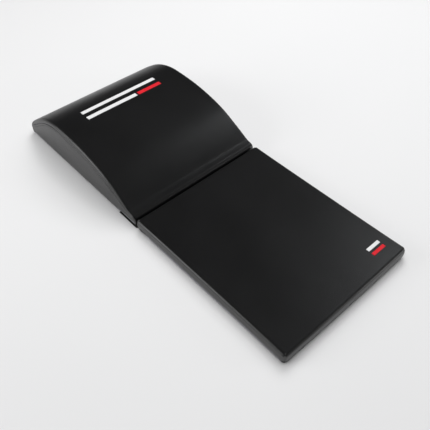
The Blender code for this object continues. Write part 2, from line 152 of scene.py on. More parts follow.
# Zip teeth, metres
TOOTH_PITCH = 0.0020
TOOTH_LENGTH = 0.0015
TOOTH_LEAN = 0.0002
TOOTH_FILL = 1.05
TOOTH_SIDES = 8
TOOTH_PROFILE = [(-0.5, 0.55), (-0.36, 0.95), (0.0, 1.0), (0.36, 0.95), (0.5, 0.55)]

# Stage and softened edges, metres
FLOOR_HALF = 30.0
FLOOR_Z = -0.0004
BEVEL_WIDTH = 0.00022


# Mesh helpers

def make_object(name, points, faces, materials, smooth_angle=None):
    """A mesh object from points and faces, shaded smooth."""
    mesh = bpy.data.meshes.new(name)
    mesh.from_pydata([tuple(map(float, p)) for p in points], [], [tuple(map(int, f)) for f in faces])
    mesh.validate()
    mesh.update()
    mesh.shade_smooth()
    if smooth_angle is not None:
        mesh.set_sharp_from_angle(angle=math.radians(smooth_angle))
    obj = bpy.data.objects.new(name, mesh)
    bpy.context.collection.objects.link(obj)
    for material in materials:
        mesh.materials.append(material)
    return obj


def grid_faces(rows, columns, loop=False, skip=None):
    """Quads over a grid of points; loop joins the last column to the first."""
    faces = []
    for i in range(rows - 1):
        for j in range(columns if loop else columns - 1):
            if skip is not None and skip(i, j):
                continue
            k = (j + 1) % columns
            faces.append((i * columns + j, i * columns + k, (i + 1) * columns + k, (i + 1) * columns + j))
    return faces


def thicken(obj, thickness, offset=-1.0):
    """Give an open skin its real thickness."""
    solid = obj.modifiers.new("thickness", "SOLIDIFY")
    solid.thickness = thickness
    solid.offset = offset
    solid.use_quality_normals = True
    return obj


def face_up(obj):
    """Turn a film's faces over if they point down."""
    if obj.data.polygons[0].normal.z < 0:
        obj.data.flip_normals()


def smoothstep(low, high, value):
    """0 below low, 1 above high and a smooth rise between."""
    t = np.clip((value - low) / (high - low), 0.0, 1.0)
    return t * t * (3 - 2 * t)


def ripple(u, v):
    """Slow uneven waves between about -1 and 1, the same each run."""
    return (np.sin(23 * u + 9 * v + 0.4) * np.sin(17 * v - 12 * u + 1.3)
            + 0.5 * np.sin(51 * u - 38 * v + 2.1) * np.sin(44 * v + 29 * u)) / 1.5


def pucker(along, distance, reach=0.012, wave=0.011):
    """Short gathers that run away from a seam and die out."""
    uneven = 1 + 0.6 * np.sin(along * 31.0 + 0.7)
    return np.sin(along * 2 * math.pi / wave + 2.2 * np.sin(along * 47.0)) * uneven * np.exp(-distance / reach)


def tube_faces(first, rings, sides):
    """Faces of a closed tube whose rings of points start at index first."""
    faces = []
    for i in range(rings - 1):
        for k in range(sides):
            a = first + i * sides + k
            b = first + i * sides + (k + 1) % sides
            faces.append((a, b, b + sides, a + sides))
    faces.append([first + k for k in reversed(range(sides))])
    faces.append([first + (rings - 1) * sides + k for k in range(sides)])
    return faces


def stitch_row(name, path, normals, material):
    """Separate thread stitches along a path, each a small tapered lozenge."""
    path, normals = np.asarray(path, float), np.asarray(normals, float)
    steps = np.linalg.norm(np.diff(path, axis=0), axis=1)
    travelled = np.concatenate([[0.0], np.cumsum(steps)])
    count = int(travelled[-1] / STITCH_PITCH)
    points, faces = [], []
    for n in range(count):
        at = (n + 0.5) * STITCH_PITCH
        centre = np.array([np.interp(at, travelled, path[:, k]) for k in range(3)])
        ahead = np.array([np.interp(at + 0.001, travelled, path[:, k]) for k in range(3)])
        tangent = ahead - centre
        tangent /= max(np.linalg.norm(tangent), 1e-9)
        up = np.array([np.interp(at, travelled, normals[:, k]) for k in range(3)])
        up /= np.linalg.norm(up)
        across = np.cross(tangent, up)
        first = len(points)
        for along, swell in STITCH_SHAPE:
            for k in range(STITCH_SIDES):
                turn = k * 2 * math.pi / STITCH_SIDES
                points.append(centre + tangent * along * STITCH_LENGTH
                              + across * STITCH_RADIUS * swell * math.cos(turn)
                              + up * STITCH_RADIUS * swell * (math.sin(turn) - 0.2))
        faces += tube_faces(first, len(STITCH_SHAPE), STITCH_SIDES)
    return make_object(name, points, faces, [material])


# Materials

class Nodes:
    """Short calls for building one material's node tree."""

    def __init__(self, name):
        self.material = bpy.data.materials.new(name)
        self.material.use_nodes = True
        self.tree = self.material.node_tree
        self.shader = self.tree.nodes["Principled BSDF"]
        self.place = self.add("ShaderNodeTexCoord").outputs["Object"]

    def add(self, kind, **settings):
        node = self.tree.nodes.new(kind)
        for key, value in settings.items():
            setattr(node, key, value)
        return node

    def link(self, output, target):
        self.tree.links.new(output, target)

    def noise(self, scale, detail=2.0, rough=0.5):
        node = self.add("ShaderNodeTexNoise")
        self.link(self.place, node.inputs["Vector"])
        node.inputs["Scale"].default_value = scale
        node.inputs["Detail"].default_value = detail
        node.inputs["Roughness"].default_value = rough
        return node.outputs["Fac"]

    def cells(self, scale, feature="F1", output="Distance"):
        node = self.add("ShaderNodeTexVoronoi", feature=feature)
        self.link(self.place, node.inputs["Vector"])
        node.inputs["Scale"].default_value = scale
        return node.outputs[output]

    def wave(self, scale, direction, distortion=0.0):
        node = self.add("ShaderNodeTexWave", bands_direction=direction)
        self.link(self.place, node.inputs["Vector"])
        node.inputs["Scale"].default_value = scale
        node.inputs["Distortion"].default_value = distortion
        return node.outputs["Fac"]

    def math(self, operation, a, b):
        node = self.add("ShaderNodeMath", operation=operation)
        for socket, value in zip(node.inputs, (a, b)):
            if isinstance(value, (int, float)):
                socket.default_value = value
            else:
                self.link(value, socket)
        return node.outputs[0]

    def ramp(self, value, low, high, dark, light):
        """Colours between dark and light as value goes from low to high."""
        node = self.add("ShaderNodeMapRange")
        self.link(value, node.inputs["Value"])
        node.inputs["From Min"].default_value = low
        node.inputs["From Max"].default_value = high
        mix = self.add("ShaderNodeMix", data_type="RGBA")
        self.link(node.outputs["Result"], mix.inputs["Factor"])
        mix.inputs["A"].default_value = (*dark, 1.0)
        mix.inputs["B"].default_value = (*light, 1.0)
        return mix.outputs["Result"]

    def span(self, value, low, high, to_low, to_high):
        node = self.add("ShaderNodeMapRange")
        self.link(value, node.inputs["Value"])
        for key, number in zip(("From Min", "From Max", "To Min", "To Max"), (low, high, to_low, to_high)):
            node.inputs[key].default_value = number
        return node.outputs["Result"]

    def bump(self, height, distance, strength=1.0, after=None):
        node = self.add("ShaderNodeBump")
        node.inputs["Strength"].default_value = strength
        node.inputs["Distance"].default_value = distance
        self.link(height, node.inputs["Height"])
        if after is not None:
            self.link(after, node.inputs["Normal"])
        return node.outputs["Normal"]

    def colour(self, output):
        self.link(output, self.shader.inputs["Base Color"])

    def roughness(self, output):
        self.link(output, self.shader.inputs["Roughness"])

    def normal(self, output):
        self.link(output, self.shader.inputs["Normal"])

    def set(self, **values):
        names = {"ior": "IOR", "specular": "Specular IOR Level", "metallic": "Metallic", "sheen": "Sheen Weight",
                 "sheen_roughness": "Sheen Roughness", "coat": "Coat Weight", "coat_roughness": "Coat Roughness",
                 "rough": "Roughness"}
        for key, value in values.items():
            self.shader.inputs[names[key]].default_value = value


def vinyl(name, dark, light, rough_low, rough_high):
    """Leather-effect vinyl: pebbled grain, fine pores, and worn edges that are paler."""
    m = Nodes(name)
    grain = m.cells(820.0, "SMOOTH_F1")
    pores = m.noise(2600.0, 3.0, 0.6)
    cloudy = m.noise(7.0, 3.0, 0.55)
    edge = m.add("ShaderNodeNewGeometry").outputs["Pointiness"]
    worn = m.span(edge, 0.515, 0.60, 0.0, 1.0)
    tone = m.math("ADD", m.math("MULTIPLY", cloudy, 0.75), m.math("MULTIPLY", worn, 0.6))
    m.colour(m.ramp(tone, 0.2, 0.9, dark, light))
    shine = m.math("ADD", m.math("MULTIPLY", cloudy, 0.7), m.math("MULTIPLY", grain, 0.5))
    m.roughness(m.span(shine, 0.2, 0.8, rough_low, rough_high))
    first = m.bump(grain, 0.00016, 0.55)
    m.normal(m.bump(pores, 0.00005, 0.4, first))
    m.set(ior=1.52, specular=0.85)
    return m.material


def woven(name, dark, light, scale, rough=0.85, fuzz=0.25):
    """Plain weave of two crossing sets of threads, with a slight fuzz."""
    m = Nodes(name)
    warp, weft = m.wave(scale, "X", 0.6), m.wave(scale, "Y", 0.6)
    weave = m.math("MAXIMUM", warp, m.math("SUBTRACT", 1.0, weft))
    cloudy = m.noise(40.0, 3.0)
    m.colour(m.ramp(m.math("MULTIPLY", weave, m.math("ADD", cloudy, 0.4)), 0.1, 0.9, dark, light))
    m.roughness(m.span(cloudy, 0.3, 0.7, rough - 0.08, rough + 0.08))
    m.normal(m.bump(weave, 0.0003, 0.8))
    m.set(sheen=fuzz, sheen_roughness=0.5)
    return m.material


def dotted_base(name):
    """Non-slip underside: close weave with raised rubber dots in a square grid."""
    m = Nodes(name)
    weave = m.math("MULTIPLY", m.wave(330.0, "X"), m.wave(330.0, "Y"))
    dots = m.math("MULTIPLY", m.wave(39.0, "X"), m.wave(39.0, "Y"))
    dot = m.span(dots, 0.55, 0.68, 0.0, 1.0)
    cloudy = m.noise(25.0, 3.0)
    m.colour(m.ramp(m.math("ADD", m.math("MULTIPLY", dot, 0.7), m.math("MULTIPLY", cloudy, 0.3)), 0.0, 1.0,
                    (0.004, 0.004, 0.0045), (0.016, 0.016, 0.017)))
    m.roughness(m.span(dot, 0.0, 1.0, 0.92, 0.6))
    m.normal(m.bump(dot, 0.0006, 0.9, m.bump(weave, 0.0002, 0.6)))
    m.set(specular=0.1)
    return m.material


def hooked(name, scale, rough):
    """Hook or loop tape: a tight field of tiny bristles or curls."""
    m = Nodes(name)
    field = m.cells(scale)
    m.colour(m.ramp(field, 0.0, 0.6, (0.020, 0.020, 0.021), (0.005, 0.005, 0.005)))
    m.roughness(m.span(m.noise(60.0), 0.3, 0.7, rough - 0.1, rough))
    m.normal(m.bump(field, 0.0008, 1.0))
    m.set(sheen=0.4, sheen_roughness=0.6)
    return m.material


def foam_block(name):
    """Open-cell foam."""
    m = Nodes(name)
    cell = m.cells(700.0)
    m.colour(m.ramp(m.math("ADD", cell, m.math("MULTIPLY", m.noise(18.0), 0.4)), 0.1, 1.0,
                    (0.20, 0.20, 0.22), (0.36, 0.36, 0.38)))
    m.roughness(m.span(cell, 0.0, 0.7, 0.9, 1.0))
    m.normal(m.bump(cell, 0.0006, 0.8))
    return m.material


def sewing_thread(name):
    """Twisted polyester thread."""
    m = Nodes(name)
    ply = m.wave(900.0, "DIAGONAL", 1.0)
    m.colour(m.ramp(ply, 0.1, 0.9, (0.003, 0.003, 0.003), (0.014, 0.014, 0.015)))
    m.roughness(m.span(ply, 0.0, 1.0, 0.7, 0.5))
    m.normal(m.bump(ply, 0.0001, 0.7))
    m.set(specular=0.25)
    return m.material


def nylon_coil(name):
    """Moulded nylon zip teeth."""
    m = Nodes(name)
    cloudy = m.noise(220.0)
    m.colour(m.ramp(cloudy, 0.3, 0.7, (0.010, 0.010, 0.011), (0.022, 0.022, 0.023)))
    m.roughness(m.span(cloudy, 0.3, 0.7, 0.28, 0.42))
    m.normal(m.bump(m.noise(1800.0), 0.00003, 0.4))
    return m.material


def black_metal(name):
    """Lacquered zinc, rubbed on its edges."""
    m = Nodes(name)
    cloudy = m.noise(350.0, 4.0)
    worn = m.span(m.add("ShaderNodeNewGeometry").outputs["Pointiness"], 0.52, 0.62, 0.0, 1.0)
    m.colour(m.ramp(m.math("ADD", m.math("MULTIPLY", cloudy, 0.3), worn), 0.1, 1.1,
                    (0.018, 0.018, 0.020), (0.16, 0.16, 0.17)))
    m.roughness(m.span(cloudy, 0.3, 0.7, 0.22, 0.38))
    m.normal(m.bump(cloudy, 0.00003, 0.3))
    m.set(metallic=0.85)
    return m.material


def printed_film(name, dark, light):
    """Heat-pressed print that takes up the grain of the vinyl under it."""
    m = Nodes(name)
    grain = m.cells(820.0, "SMOOTH_F1")
    cloudy = m.noise(90.0, 4.0)
    m.colour(m.ramp(cloudy, 0.25, 0.75, dark, light))
    m.roughness(m.span(grain, 0.1, 0.6, 0.42, 0.58))
    m.normal(m.bump(grain, 0.0001, 0.4))
    return m.material


def floor_surface(name):
    """Matt pale studio floor."""
    m = Nodes(name)
    cloudy = m.noise(1.3, 2.0)
    m.colour(m.ramp(cloudy, 0.2, 0.8, FLOOR_DARK, FLOOR_LIGHT))
    m.roughness(m.span(cloudy, 0.2, 0.8, 0.92, 0.98))
    m.set(specular=0.1)
    return m.material


FLOOR_DARK = (0.80, 0.80, 0.805)
FLOOR_LIGHT = (0.82, 0.82, 0.823)
VINYL = vinyl("black_vinyl", (0.0045, 0.0045, 0.0047), (0.0100, 0.0100, 0.0105), 0.33, 0.44)
BASE_CLOTH = dotted_base("base_cloth")
WEBBING = woven("webbing", (0.0025, 0.0025, 0.0025), (0.010, 0.010, 0.010), 420.0, 0.9, 0.1)
ZIP_CLOTH = woven("zip_cloth", (0.004, 0.004, 0.004), (0.013, 0.013, 0.013), 900.0)
HOOK = hooked("hook_tape", 900.0, 0.6)
LOOP = hooked("loop_tape", 500.0, 0.95)
FOAM = foam_block("foam")
THREAD = sewing_thread("thread")
COIL = nylon_coil("zip_coil")
METAL = black_metal("zip_metal")
WHITE = printed_film("white_film", (0.76, 0.76, 0.77), (0.86, 0.86, 0.86))
RED = printed_film("red_film", (0.62, 0.012, 0.022), (0.76, 0.022, 0.034))


# Zip openings

def zip_height(prefix):
    """Height of the line between a zip's two rows of teeth."""
    return (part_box(f"{prefix}_zip_upper_teeth")[0].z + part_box(f"{prefix}_zip_lower_teeth")[1].z) / 2


def zip_span(prefix, axis):
    """Lowest and highest value of a zip's opening along one axis."""
    lows = [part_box(f"{prefix}_zip_{end}_stop")[0][axis] for end in ("open_end", "closed_end")]
    highs = [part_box(f"{prefix}_zip_{end}_stop")[1][axis] for end in ("open_end", "closed_end")]
    return min(lows) - ZIP_END_GAP, max(highs) + ZIP_END_GAP


# Wedge

def wedge_path():
    """Dense centre-line outline in the row frame: points (y, z) and headings, rim to rim."""
    points, headings = [], []

    def add(y, z, heading):
        points.append((y + SEAM_Y, z))
        headings.append(heading)

    toe, back = WEDGE_KNOTS[0], WEDGE_KNOTS[-1]
    for k in range(RIM_STEPS + 1):
        turn = math.pi / 2 * k / RIM_STEPS
        add(toe[0] + RIM_RADIUS * (1 - math.sin(turn)), TOE_RIM + RIM_RADIUS * (1 - math.cos(turn)),
            math.pi - turn)
    rim_top = TOE_RIM + RIM_RADIUS
    for k in range(1, RIM_STEPS):
        add(toe[0], rim_top + (toe[1] - rim_top) * k / RIM_STEPS, math.pi / 2)
    for (y0, z0, h0), (y1, z1, h1) in zip(WEDGE_KNOTS, WEDGE_KNOTS[1:]):
        start, end = np.array((y0, z0)), np.array((y1, z1))
        chord = np.linalg.norm(end - start)
        leave = chord * np.array((math.cos(math.radians(h0)), math.sin(math.radians(h0))))
        arrive = chord * np.array((math.cos(math.radians(h1)), math.sin(math.radians(h1))))
        for k in range(STRETCH_STEPS):
            t = k / STRETCH_STEPS
            spot = (2 * t**3 - 3 * t**2 + 1) * start + (t**3 - 2 * t**2 + t) * leave \
                + (3 * t**2 - 2 * t**3) * end + (t**3 - t**2) * arrive
            slope = (6 * t**2 - 6 * t) * (start - end) + (3 * t**2 - 4 * t + 1) * leave \
                + (3 * t**2 - 2 * t) * arrive
            add(spot[0], spot[1], math.atan2(slope[1], slope[0]))
    for z in back_levels():
        add(back[0], z, -math.pi / 2)
    for k in range(1, RIM_STEPS + 1):
        turn = math.pi / 2 * k / RIM_STEPS
        add(back[0] - BACK_ROLL * (1 - math.cos(turn)), BACK_RIM + BACK_ROLL * (1 - math.sin(turn)),
            -math.pi / 2 - turn)
    return np.array(points), np.array(headings)


def back_levels():
    """Heights on the upright part of the back, with two on the zip slot's edges."""
    zip_z = zip_height("wedge")
    top = WEDGE_KNOTS[-1][1]
    high, low = zip_z + SLOT_HALF, zip_z - SLOT_HALF
    return [top, (top + high) / 2 + 0.001, high + 0.0012, high, low, low - 0.0003, BACK_RIM + BACK_ROLL]


def edge_radius(points):
    """Radius of the soft edge along the outline."""
    y, z = points[:, 0] - SEAM_Y, points[:, 1]
    grow = smoothstep(*EDGE_GROWS, y)
    low_back = np.where(y > BACK_SLOPE_Y, smoothstep(*EDGE_SHRINKS, z), 1.0)
    return EDGE_AT_TOE + (EDGE_ON_TOP - EDGE_AT_TOE) * grow * low_back


def inset_path(points, headings, inset):
    """The outline moved square to itself into the wedge; inset is one value or one for each point."""
    return points + np.stack([np.sin(headings), -np.cos(headings)], axis=1) * np.reshape(inset, (-1, 1))


def wedge_swell(x, points, headings):
    """How far the top skin stands out from the outline: fuller in the middle, uneven by a hair."""
    share = np.clip(np.abs(x) / WEDGE_HALF, 0, 1)
    y = points[:, 0]
    middle = np.sin(np.clip((y - TOE_Y) / (BACK_Y - TOE_Y), 0, 1) * math.pi)
    crown = TOP_CROWN * (1 - share ** 2) * middle
    waves = TOP_WAVES * ripple(np.full_like(y, x) * 1.2, y * 1.4) * middle
    toe_dip = -TOE_DIP * np.exp(-((y - SEAM_Y - 0.028) / 0.012) ** 2) * (1 - share ** 4)
    return crown + waves + toe_dip


def wedge_top_skin():
    """Wrap-round cover: toe, top and back, with soft edges that tuck into the side seams."""
    points, headings = wedge_path()
    radius = edge_radius(points)
    travelled = np.concatenate([[0.0], np.cumsum(np.linalg.norm(np.diff(points, axis=0), axis=1))])
    slot_low, slot_high = zip_span("wedge", 0)
    zip_half = (slot_high - slot_low) / 2
    reach = WEDGE_HALF - EDGE_ON_TOP
    flat = sorted(set(np.round(np.linspace(-reach, reach, TOP_COLUMNS), 5)) | {-zip_half, zip_half})
    columns = []
    for x in flat:
        shift = wedge_swell(x, points, headings)
        track = inset_path(points, headings, -shift)
        columns.append(np.column_stack([np.full(len(points), x), track]))
    for side in (-1, 1):
        edge = []
        for k in range(1, EDGE_TURNS + 1):
            turn = math.pi / 2 * k / EDGE_TURNS
            spread = (EDGE_ON_TOP - radius) + radius * math.sin(turn)
            inset = radius * (1 - math.cos(turn))
            lump = SEAM_PUCKER * pucker(travelled + 0.13 * side, radius * (1 - turn / (math.pi / 2)), 0.006)
            swell = wedge_swell(side * reach, points, headings) * (1 - k / EDGE_TURNS)
            track = inset_path(points, headings, inset - lump - swell)
            edge.append(np.column_stack([side * (reach + spread), track]))
        for depth, further in ((0.0009, 0.0006), (TUCK, 0.0010)):
            track = inset_path(points, headings, radius + further)
            edge.append(np.column_stack([np.full(len(points), side * (WEDGE_HALF - depth)), track]))
        columns = (edge[::-1] + columns) if side < 0 else (columns + edge)
    grid = np.stack(columns, axis=1)
    rows, count = grid.shape[:2]
    xs = grid[rows // 2, :, 0]
    levels = back_levels()
    slot_row = rows - RIM_STEPS - len(levels) + levels.index(zip_height("wedge") + SLOT_HALF)

    def in_slot(i, j):
        return i == slot_row and xs[j] > -zip_half - 1e-6 and xs[j + 1] < zip_half + 1e-6

    faces = grid_faces(rows, count, skip=in_slot)
    skin = make_object("wedge_top_skin", grid.reshape(-1, 3), faces, [VINYL])
    thicken(skin, SKIN)
    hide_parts("wedge_top_cover")
    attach(skin, "wedge")


def wedge_underside(y):
    """How far the underside is lifted over the flap and its tapes."""
    return (TOE_RIM - BACK_RIM) * (1 - smoothstep(FLAP_HIGH.y + 0.0005, FLAP_HIGH.y + 0.016, y))


def side_depth(points, outline, side):
    """Stand-out of a side panel from its flat plane, for (y, z) points."""
    gaps = np.full(len(points), 1e9)
    for start in range(0, len(points), 4000):
        block = points[start:start + 4000]
        gaps[start:start + 4000] = np.sqrt(((block[:, None, :] - outline[None, :, :]) ** 2).sum(-1)).min(1)
    y, z = points[:, 0], points[:, 1]
    groove = -TUCK * np.exp(-(gaps / 0.0012) ** 2)
    bulge = PANEL_BULGE * (1 - np.exp(-(gaps / 0.028) ** 2))
    ridge = 0.0005 * (1 - smoothstep(ALLOWANCE - 0.0005, ALLOWANCE + 0.0010, gaps))
    ridge = ridge * smoothstep(0.001, 0.0025, gaps)
    dimple = -0.0004 * np.exp(-((gaps - ALLOWANCE + 0.0015) / 0.0008) ** 2)
    low = np.clip((UNDER_HEIGHT - (z - wedge_underside(y))) / UNDER_HEIGHT, 0, 1)
    under = -PANEL_TUCKS_UNDER * low ** 2.2
    waves = 0.00030 * ripple(y * 1.6 + 0.3 * side, z * 2.4) * smoothstep(0.004, 0.02, gaps)
    gather = 0.00016 * pucker(y * 1.1 + 0.05 * side, gaps, 0.007)
    past_toe = smoothstep(0.02, 0.05, y - SEAM_Y)
    return groove + bulge + (ridge + dimple) * past_toe + under + waves + gather


def wedge_side_skins():
    """D-shaped side panels, each with a row of topstitching inside its edge."""
    points, headings = wedge_path()
    outline = inset_path(points, headings, edge_radius(points) + PANEL_INSET)
    outline = outline[4:-4]
    share = np.linspace(0, 1, len(outline))
    bottom_y = 0.82 * outline[:, 0] + 0.18 * (outline[0, 0] + (outline[-1, 0] - outline[0, 0]) * share)
    bottom = np.column_stack([bottom_y, BACK_RIM + wedge_underside(bottom_y)])
    t = (np.arange(SIDE_ROWS + 1) / SIDE_ROWS) ** 1.5
    grid = outline[None, :, :] * (1 - t[:, None, None]) + bottom[None, :, :] * t[:, None, None]
    flat = grid.reshape(-1, 2)
    for side, name in ((-1, "left"), (1, "right")):
        x = side * (WEDGE_HALF - PANEL_PLANE + side_depth(flat, outline, side))
        verts = np.column_stack([x, flat])
        faces = grid_faces(SIDE_ROWS + 1, len(outline))
        if side > 0:
            faces = [face[::-1] for face in faces]
        skin = make_object(f"wedge_{name}_side_skin", verts, faces, [VINYL])
        thicken(skin, SKIN)
        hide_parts(f"wedge_{name}_side_panel")
        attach(skin, "wedge")
        row = inset_path(points, headings, edge_radius(points) + ALLOWANCE)
        keep = (row[:, 0] > SEAM_Y + 0.040) & (points[:, 1] > 0.030)
        row = row[keep]
        stand = side_depth(row, outline, side)
        line = np.column_stack([side * (WEDGE_HALF - PANEL_PLANE + stand + 0.0001), row])
        out = np.tile((side, 0.0, 0.0), (len(line), 1))
        stitches = stitch_row(f"wedge_{name}_topstitching", line, out, THREAD)
        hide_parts(f"wedge_{name}_topstitch")
        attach(stitches, "wedge")


def rounded_loop(half_x, low_y, high_y, radii, corner_points, long_steps, short_steps):
    """Plan of a rounded rectangle, anticlockwise from the back right corner; the count never varies.

    radii are those of the front and the back corners.
    """
    front, back = radii
    corners = [(half_x - back, high_y - back, 0, back), (-half_x + back, high_y - back, 90, back),
               (-half_x + front, low_y + front, 180, front), (half_x - front, low_y + front, 270, front)]
    plan = []
    for index, (cx, cy, first, radius) in enumerate(corners):
        for k in range(corner_points + 1):
            turn = math.radians(first + 90 * k / corner_points)
            plan.append((cx + radius * math.cos(turn), cy + radius * math.sin(turn)))
        nx, ny, after, next_radius = corners[(index + 1) % 4]
        turn = math.radians(after)
        end = (nx + next_radius * math.cos(turn), ny + next_radius * math.sin(turn))
        start = plan[-1]
        steps = short_steps if index % 2 == 0 else long_steps
        for k in range(1, steps):
            plan.append((start[0] + (end[0] - start[0]) * k / steps, start[1] + (end[1] - start[1]) * k / steps))
    return np.array(plan)


def wedge_base_skin():
    """Non-slip underside of the wedge, lifted over the flap, with a turned-up edge."""
    half, low, high = WEDGE_HALF - 0.0034, TOE_Y + 0.0022, BACK_Y - BACK_ROLL + 0.0003
    rings = [(0.0000, 0.0012), (-0.0020, 0.0006), (0.0020, 0.0000)]
    rings += [(share, -0.0001) for share in (0.02, 0.05, 0.1, 0.2, 0.35, 0.5, 0.65, 0.8, 0.93)]
    rows = []
    outer = rounded_loop(half, low, high, (0.004, 0.004), 6, 120, 60)
    for share, z in rings:
        plan = shrunk(outer, share, (low + high) / 2)
        rows.append(np.column_stack([plan, z + 0.0002 + wedge_underside(plan[:, 1])]))
    count = len(rows[0])
    faces = grid_faces(len(rows), count, loop=True)
    faces.append([(len(rows) - 1) * count + k for k in range(count)])
    skin = make_object("wedge_base_skin", np.concatenate(rows), [face[::-1] for face in faces], [BASE_CLOTH])
    thicken(skin, BASE_SKIN)
    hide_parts("wedge_base_panel")
    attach(skin, "wedge")


def wedge_prints():
    """Plain stripes pressed on the top, following its curve."""
    points, headings = wedge_path()
    for node, material, slot in (("wedge_print_white_long", WHITE, "white_film"),
                                 ("wedge_print_white_short", WHITE, "white_film"),
                                 ("wedge_print_red", RED, "red_film")):
        low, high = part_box(node)
        xs = np.linspace(low.x, high.x, 48)
        ys = np.linspace(low.y, high.y, 7)
        top = slice(40, len(points) - 40)
        rows = []
        for x in xs:
            shift = wedge_swell(x, points, headings) + STRIPE_GAP
            track = inset_path(points, headings, -shift)[top]
            rows.append(np.column_stack([np.full(len(ys), x), ys, np.interp(ys, track[:, 0], track[:, 1])]))
        verts = np.concatenate(rows)
        film = make_object(node.replace("print", "stripe"), verts, grid_faces(len(xs), len(ys)), [material])
        face_up(film)
        thicken(film, FILM)
        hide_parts(node)
        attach(film, "wedge")


# Mat

def pull_in(verts):
    """The sides of the stuffed cover curve in between its corners."""
    verts = np.array(verts, float)
    u = np.clip(verts[:, 0] / MAT_HALF, -1, 1)
    v = np.clip((verts[:, 1] - MAT_MIDDLE) / MAT_REACH, -1, 1)
    verts[:, 0] -= np.sign(u) * PULL_IN_LONG * (1 - v ** 4) * np.abs(u) ** 9
    verts[:, 1] -= np.where(v > 0, PULL_IN_BACK, FRONT_BULGE) * (1 - u ** 4) * np.abs(v) ** 9
    return verts


def lean(plan):
    """How far in the band stands at its bottom seam, for each point of the plan."""
    gap = np.hypot(plan[:, 0] + MAT_HALF, plan[:, 1] - MAT_LOW.y)
    return LEAN + LEAN_AT_CORNER * np.exp(-(gap / LEAN_REACH) ** 2)


def mat_plan(inset):
    """Plan of the mat; past the soft edge it shrinks towards the middle."""
    rim = min(inset, MAT_EDGE)
    plan = rounded_loop(MAT_HALF - rim, MAT_LOW.y + rim, MAT_HIGH.y - rim,
                        (FRONT_CORNER - rim, BACK_CORNER - rim), CORNER_POINTS, LONG_STEPS, SHORT_STEPS)
    return shrunk(plan, (inset - rim) / (MAT_HALF - rim), MAT_MIDDLE)


def shrunk(plan, share, middle_y):
    """A loop drawn in towards its middle by a share of its size."""
    centre = np.array((0.0, middle_y))
    return centre + (plan - centre) * (1 - share)


def corner_share(count):
    """Closeness of each loop point to the middle of its corner, in metres along the loop."""
    gap = np.full(count, 1.0)
    step = FRONT_CORNER * (math.pi / 2) / CORNER_POINTS
    index, start = np.arange(count), 0
    for k, run in enumerate((SHORT_STEPS, LONG_STEPS, SHORT_STEPS, LONG_STEPS)):
        middle = start + CORNER_POINTS / 2
        near = np.abs(index - middle)
        gap = np.minimum(gap, np.where(near <= CORNER_POINTS / 2 + 2, near * step, 1.0))
        start += CORNER_POINTS + run
    return gap


def mat_underside(y):
    """How far the mat's underside is lifted over the sewn hem."""
    return (HEM_HIGH.z + 0.0002) * smoothstep(HEM_LOW.y - 0.014, HEM_LOW.y - 0.0005, y)


def mat_crown(x, y, settled=1.0):
    """Rise of the mat's top above its flat height; the ripples fade as settled goes to 0."""
    u, v = x / MAT_HALF, (y - MAT_MIDDLE) / MAT_REACH
    return MAT_CROWN * (1 - u ** 2) * (1 - v ** 2) + MAT_WAVES * ripple(x * 1.1, y * 1.2) * settled


def mat_skin():
    """Boxed top cover: band, soft top edge and a slightly crowned top."""
    zip_z = zip_height("mat")
    levels = [MAT_SEAM_Z, MAT_SEAM_Z + 0.0004, MAT_SEAM_Z + 0.0011, MAT_SEAM_Z + 0.0024,
              zip_z - SLOT_HALF, zip_z + SLOT_HALF, BAND_TOP, MAT_TOP - MAT_EDGE]
    tucks = [TUCK, 0.0008, 0.0002, 0, 0, 0, 0, 0]
    rows = [(tuck, z, 0.0) for tuck, z in zip(tucks, levels)]
    for k in range(1, EDGE_TURNS + 1):
        turn = math.pi / 2 * k / EDGE_TURNS
        rows.append((MAT_EDGE * (1 - math.cos(turn)), MAT_TOP - MAT_EDGE * (1 - math.sin(turn)), turn))
    rows += [(inset, MAT_TOP, math.pi / 2) for inset in TOP_INSETS]
    gap = corner_share(len(mat_plan(0.0)))
    loops = []
    for inset, z, turn in rows:
        plan = mat_plan(inset)
        around = np.concatenate([[0.0], np.cumsum(np.linalg.norm(np.diff(plan, axis=0), axis=1))])
        heights = np.full(len(plan), z)
        heights = heights + mat_underside(plan[:, 1]) * (1 - smoothstep(MAT_SEAM_Z, BAND_LIFT_END, z))
        wall = math.cos(turn)
        height_share = np.clip((z - MAT_SEAM_Z) / (MAT_TOP - MAT_EDGE - MAT_SEAM_Z), 0, 1)
        belly = BAND_BELLY * math.sin(math.pi * height_share) if turn == 0 else 0.0
        belly = belly - lean(plan) * (1 - height_share) ** 1.4
        fade = np.clip(1 - inset / 0.010, 0, 1)
        seam = -0.0012 * np.exp(-(gap / 0.0010) ** 2) * fade
        beside = 0.0003 * np.exp(-((gap - 0.0026) / 0.0014) ** 2) * fade
        gathers = SEAM_PUCKER * pucker(around, np.full(len(plan), abs(z - MAT_SEAM_Z)), 0.006) * wall
        out = belly + seam + beside + gathers
        away = outward_normals(plan)
        drop = (seam + beside) * math.sin(turn)
        sides = plan + away * (out * max(wall, 0.15))[:, None]
        crown = mat_crown(plan[:, 0], plan[:, 1], np.clip(inset / 0.03, 0, 1)) * math.sin(turn)
        loops.append(np.column_stack([sides, heights + drop + crown]))
    count = len(loops[0])
    verts = pull_in(np.concatenate(loops))
    slot_low, slot_high = zip_span("mat", 1)
    right = verts[4 * count:5 * count]

    def in_slot(i, j):
        k = (j + 1) % count
        ends = sorted((right[j][1], right[k][1]))
        return i == 4 and right[j][0] > 0.15 and right[k][0] > 0.15 and ends[0] > slot_low and ends[1] < slot_high

    faces = grid_faces(len(loops), count, loop=True, skip=in_slot)
    faces.append([(len(loops) - 1) * count + k for k in range(count)])
    skin = make_object("mat_skin", verts, faces, [VINYL])
    thicken(skin, SKIN)
    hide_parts("mat_top_cover")
    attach(skin, "mat")


